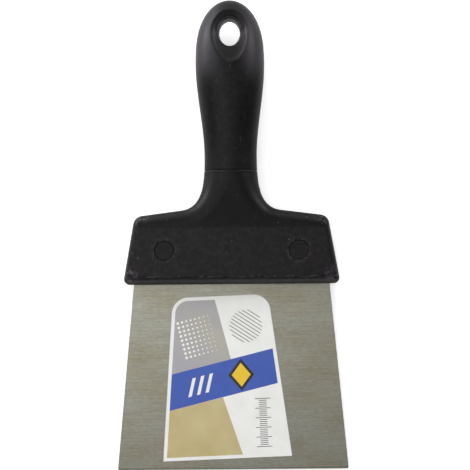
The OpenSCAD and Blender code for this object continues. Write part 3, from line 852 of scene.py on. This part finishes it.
# %% The two panels, each cut off along a slanted line from its head to its foot
UPPER_HEAD, UPPER_FOOT = -3.0, 4.0
LOWER_HEAD, LOWER_FOOT = -1.0, 8.0
straight_v, CORNER_STEPS = 60.0, 14
field_corner_r = label_corner_r - label_margin
round_corner = arc_corner((-field_edge(straight_v), straight_v), (-field_edge(field_top), field_top),
                          (0, field_top), field_corner_r, CORNER_STEPS)
patch("print_upper_panel", [on_side(-1, 1), *[tuple(p) for p in round_corner], (UPPER_HEAD, field_top),
                            (UPPER_FOOT, band_v(UPPER_FOOT, 1))], INK_SAGE)
patch("print_lower_panel", [(-field_edge(field_foot), field_foot), (LOWER_FOOT, field_foot),
                            (LOWER_HEAD, band_v(LOWER_HEAD, 0)), on_side(-1, 0)], INK_OCHRE)

# %% A lozenge and three bars in the band
LOZENGE_U, LOZENGE_SQUEEZE, RING_REACH, CORE_REACH = 9.0, 0.8, 8.4, 6.2
lozenge_v = band_v(LOZENGE_U, 0.5)
for name, reach, ink, layer in (("print_lozenge_ring", RING_REACH, INK_BLACK, 2),
                                ("print_lozenge", CORE_REACH, INK_YELLOW, 3)):
    patch(name, [(LOZENGE_U + reach * LOZENGE_SQUEEZE * c, lozenge_v + reach * s)
                 for c, s in ((1, 0), (0, 1), (-1, 0), (0, -1))], ink, layer)
BAR_W, BAR_LEAN, BAR_LOW, BAR_HIGH = 1.8, 2.6, 0.25, 0.75
for number, left in enumerate((-19.0, -14.5, -10.0)):
    feet = [(u, band_v(u, BAR_LOW)) for u in (left, left + BAR_W)]
    heads = [(u, band_v(u, BAR_HIGH)) for u in (left + BAR_W + BAR_LEAN, left + BAR_LEAN)]
    patch(f"print_bar_{number}", feet + heads, LABEL_WHITE, 2)

# %% [markdown]
# Lines, ticks and dots repeat, so Geometry Nodes set them out. A grid of points gives the
# places and one small flat shape is put on each. Its size comes from its place, by a short
# rule for each tree: chords of a circle, ticks of a scale, dots that fade.

# %% A tree that sets out small shapes on a grid
MOTIF_INPUTS = {"Across": "NodeSocketInt", "Up": "NodeSocketInt", "Spacing": "NodeSocketFloat",
                "Length": "NodeSocketFloat", "Thickness": "NodeSocketFloat"}


def motif_tree(name, shape_kind, shape_settings, ink, size_rule):
    """A tree that puts a small shape on each point of a grid, sized by size_rule(tree, inputs)."""
    tree = bpy.data.node_groups.new(name, "GeometryNodeTree")
    tree.is_modifier = True
    for title, kind in MOTIF_INPUTS.items():
        tree.interface.new_socket(title, in_out="INPUT", socket_type=kind)
    tree.interface.new_socket("Geometry", in_out="OUTPUT", socket_type="NodeSocketGeometry")
    inputs = add(tree, "NodeGroupInput").outputs
    extents = []
    for title in ("Across", "Up"):
        gaps = add(tree, MATH, LESS, in_0=inputs[title], in_1=1.0)
        extents.append(add(tree, MATH, TIMES, in_0=gaps, in_1=inputs["Spacing"]))
    points = add(tree, "GeometryNodeMeshGrid", Size_X=extents[0], Size_Y=extents[1],
                 Vertices_X=inputs["Across"], Vertices_Y=inputs["Up"])
    motif = add(tree, shape_kind, shape_settings.get("choices"), **shape_settings["inputs"])
    placed_motifs = add(tree, "GeometryNodeInstanceOnPoints", Points=points, Instance=motif,
                        Scale=size_rule(tree, inputs))
    real_motifs = add(tree, "GeometryNodeRealizeInstances", Geometry=placed_motifs)
    inked = add(tree, "GeometryNodeSetMaterial", Geometry=real_motifs, Material=ink)
    add(tree, "NodeGroupOutput", Geometry=inked)
    return tree


def place_share(tree, inputs, axis, title):
    """A point's place along one axis of its grid, from -1 to 1."""
    where = add(tree, SPLIT, Vector=add(tree, "GeometryNodeInputPosition")).outputs[axis]
    full = add(tree, MATH, TIMES, in_0=inputs[title], in_1=inputs["Spacing"])
    half_share = add(tree, MATH, OVER, in_0=where, in_1=full)
    return add(tree, MATH, TIMES, in_0=half_share, in_1=2.0)


# %% The three size rules
def chord_size(tree, inputs):
    """Strips as long as the chords of a circle."""
    share = place_share(tree, inputs, "Y", "Up")
    square = add(tree, MATH, TIMES, in_0=share, in_1=share)
    rest = add(tree, MATH, LESS, in_0=1.0, in_1=square)
    chord = add(tree, MATH, {"operation": "SQRT"}, in_0=rest)
    length = add(tree, MATH, TIMES, in_0=chord, in_1=inputs["Length"])
    return add(tree, COMBINE, X=length, Y=inputs["Thickness"], Z=1.0)


def tick_size(tree, inputs):
    """Strips of which every fifth is long, and the others half as long."""
    step = add(tree, MATH, {"operation": "MODULO"}, in_0=add(tree, "GeometryNodeInputIndex"), in_1=5.0)
    long_one = add(tree, MATH, BELOW, in_0=step, in_1=0.5)
    share = add(tree, MAP, Value=long_one, To_Min=0.5, To_Max=1.0)
    length = add(tree, MATH, TIMES, in_0=share, in_1=inputs["Length"])
    return add(tree, COMBINE, X=length, Y=inputs["Thickness"], Z=1.0)


def dot_size(tree, inputs):
    """Dots that shrink from the left of the field to its right, Length wide at the most."""
    share = place_share(tree, inputs, "X", "Across")
    width_now = add(tree, MAP, Value=share, From_Min=-1.0, From_Max=1.0, To_Min=inputs["Length"],
                    To_Max=inputs["Thickness"])
    return add(tree, COMBINE, X=width_now, Y=width_now, Z=1.0)


# %% Set them out
STRIP = {"inputs": {"Size_X": 1.0, "Size_Y": 1.0, "Vertices_X": 2, "Vertices_Y": 2}}
DOT = {"choices": {"fill_type": "NGON"}, "inputs": {"Vertices": 20, "Radius": 0.5}}


def motifs(name, tree, place, **sizes):
    """Evaluate a motif tree with its sizes, and print the result at its place on the label."""
    carrier = add_object(name + "_source", bpy.data.meshes.new(name + "_source"))
    step = carrier.modifiers.new(name, "NODES")
    step.node_group = tree
    for item in tree.interface.items_tree:
        if item.in_out == "INPUT":
            step[item.identifier] = sizes[item.name.lower()]
    mesh = plain_mesh(carrier)
    u, v, angle = place
    mesh.transform(Matrix.Translation((u, v, 0)) @ Matrix.Rotation(math.radians(angle), 4, "Z"))
    print_on_label(name, mesh, tree.nodes["Set Material"].inputs["Material"].default_value, 2)


ruling = motif_tree("Ruling", "GeometryNodeMeshGrid", STRIP, INK_BLACK, chord_size)
scale = motif_tree("Scale", "GeometryNodeMeshGrid", STRIP, INK_BLACK, tick_size)
dots = motif_tree("Dots", "GeometryNodeMeshCircle", DOT, LABEL_WHITE, dot_size)
motifs("print_ruling", ruling, (12.5, 68.5, -35), across=1, up=10, spacing=1.7, length=17.0, thickness=0.3)
motifs("print_scale", scale, (19.5, 18.0, 0), across=1, up=26, spacing=1.0, length=8.0, thickness=0.3)
motifs("print_dots", dots, (-13.0, 64.0, 12), across=8, up=9, spacing=2.3, length=1.5, thickness=0.4)

# %% [markdown]
# ## The table and the world
# The knife lies on a plain white table. The table keeps the knife's shadow and fades to
# white further out, so it has no edge, and it shows a little in the sheen of the plastic.

# %% The table
floor_shape = bmesh.new()
bmesh.ops.create_grid(floor_shape, x_segments=2, y_segments=2, size=1.5)
table = add_object("table", mesh_of("table", floor_shape))
table_finish = bpy.data.materials.new("white_table")
table_tree = new_tree(table_finish)
paint = add(table_tree, "ShaderNodeBsdfDiffuse", Color=linear("#f4f4f4"))
path = add(table_tree, "ShaderNodeLightPath").outputs
spot_on_table = add(table_tree, "ShaderNodeTexCoord").outputs["Object"]
away = add(table_tree, VECTOR_MATH, {"operation": "LENGTH"}, in_0=spot_on_table).outputs["Value"]
FADE_FROM, FADE_TO = 0.25, 0.8
fade = add(table_tree, MAP, Value=away, From_Min=FADE_FROM, From_Max=FADE_TO, To_Min=0.5, To_Max=1.1)
to_view = add(table_tree, MATH, TIMES, in_0=path["Is Camera Ray"], in_1=fade)
TABLE_IN_SHEEN = 0.1
to_sheen = add(table_tree, MATH, TIMES, in_0=path["Is Glossy Ray"], in_1=TABLE_IN_SHEEN)
glow_level = add(table_tree, MATH, MOST, in_0=to_view, in_1=to_sheen)
glow = add(table_tree, "ShaderNodeEmission", Strength=glow_level)
both = add(table_tree, "ShaderNodeAddShader", in_0=paint, in_1=glow)
add(table_tree, "ShaderNodeOutputMaterial", Surface=both)
table.data.materials.append(table_finish)
print(f"the table is white from {FADE_TO} m out")

# %% [markdown]
# The world is white where the camera sees it and nearly black as a light, which is left to
# the panels. The sheen also sees a pale glow low over the horizon, as from the walls of a
# bright room, and it draws the edges of the black mouldings.

# %% The world
SKY_LEVEL, HORIZON_LEVEL = 0.01, 0.4
HORIZON_FOOT, HORIZON_TOP = 0.1, 0.4
sky = bpy.data.worlds.new("studio")
bpy.context.scene.world = sky
sky_tree = new_tree(sky)
rays = add(sky_tree, "ShaderNodeLightPath").outputs
aim = add(sky_tree, SPLIT, Vector=add(sky_tree, "ShaderNodeTexCoord").outputs["Generated"])
horizon = add(sky_tree, MAP, Value=aim.outputs["Z"], From_Min=HORIZON_TOP, From_Max=HORIZON_FOOT,
              To_Max=HORIZON_LEVEL)
in_sheen = add(sky_tree, MATH, TIMES, in_0=rays["Is Glossy Ray"], in_1=horizon)
in_view = add(sky_tree, MATH, MOST, in_0=rays["Is Camera Ray"], in_1=rays["Is Transmission Ray"])
seen = add(sky_tree, MATH, MOST, in_0=in_view, in_1=in_sheen)
sky_strength = add(sky_tree, MATH, MOST, in_0=seen, in_1=SKY_LEVEL)
sky_light = add(sky_tree, "ShaderNodeBackground", Color=(1.0, 1.0, 1.0, 1.0), Strength=sky_strength)
add(sky_tree, "ShaderNodeOutputWorld", Surface=sky_light)
print(f"sky {SKY_LEVEL}, horizon {HORIZON_LEVEL}")

# %% [markdown]
# ## Light
# Ten soft panels stand round the knife. The far ones, beyond the hanging hole, light the
# flat faces at a shallow angle, so the blade mirrors them softly and the scoop shades
# itself. Those on the sides draw a line of light down each flank of the grip. The low one
# beyond the working edge fills the lip, and the high ones keep the label plain.

# %% Studio panels
def panel(name, at, size, power):
    """A rectangular softbox that faces the knife's middle."""
    light = bpy.data.lights.new(name, "AREA")
    light.shape = "RECTANGLE"
    light.size, light.size_y = size
    light.energy = power
    lamp = add_object(name, light)
    lamp.location = at
    lamp.rotation_euler = (-Vector(at)).to_track_quat("-Z", "Y").to_euler()


panel("far_top", (0.0, 0.7, 0.55), (0.8, 0.4), 2.3)
panel("far_low", (0.0, 0.8, 0.22), (0.6, 0.3), 0.8)
panel("far_left", (-0.45, 0.7, 0.2), (0.4, 0.3), 2.2)
panel("side_left", (-0.66, 0.38, 0.22), (0.25, 0.3), 3.0)
panel("mid_left", (-0.6, 0.4, 0.42), (0.3, 0.4), 0.7)
panel("mid_right", (0.6, 0.4, 0.42), (0.3, 0.4), 2.6)
panel("top_left", (-0.35, 0.05, 0.75), (0.6, 0.6), 1.7)
panel("top_right", (0.35, 0.05, 0.75), (0.6, 0.6), 0.35)
panel("overhead", (0.0, -0.15, 0.85), (0.5, 0.5), 0.6)
panel("near_low", (0.0, -0.7, 0.22), (0.6, 0.3), 1.9)
print(f"{len(bpy.data.lights)} panels")

# %% [markdown]
# ## Camera
# The camera looks square on to the blade, from about half a metre, so the working edge
# shows at its full width. The lens follows from the distance and the width in view.

# %% Camera
VIEW_DISTANCE, VIEW_WIDTH = 555.0, 244.4
FOOT_X, FOOT_Y = 1.9, 121.8
view_roll = math.radians(0.5)
view = bpy.data.cameras.new("camera")
view.sensor_width = 36.0
view.lens = view.sensor_width * VIEW_DISTANCE / VIEW_WIDTH
camera = add_object("camera", view)
bpy.context.scene.camera = camera
stand = (LAID_DOWN @ Matrix.Translation((FOOT_X, FOOT_Y, VIEW_DISTANCE))
         @ Matrix.Rotation(-view_roll, 4, "Z"))
camera.matrix_world = Matrix.LocRotScale(stand.translation, stand.to_quaternion(), None)
bpy.context.scene.view_settings.view_transform = "Standard"
print(f"camera {VIEW_DISTANCE:.0f} mm above the blade, lens {view.lens:.1f} mm")
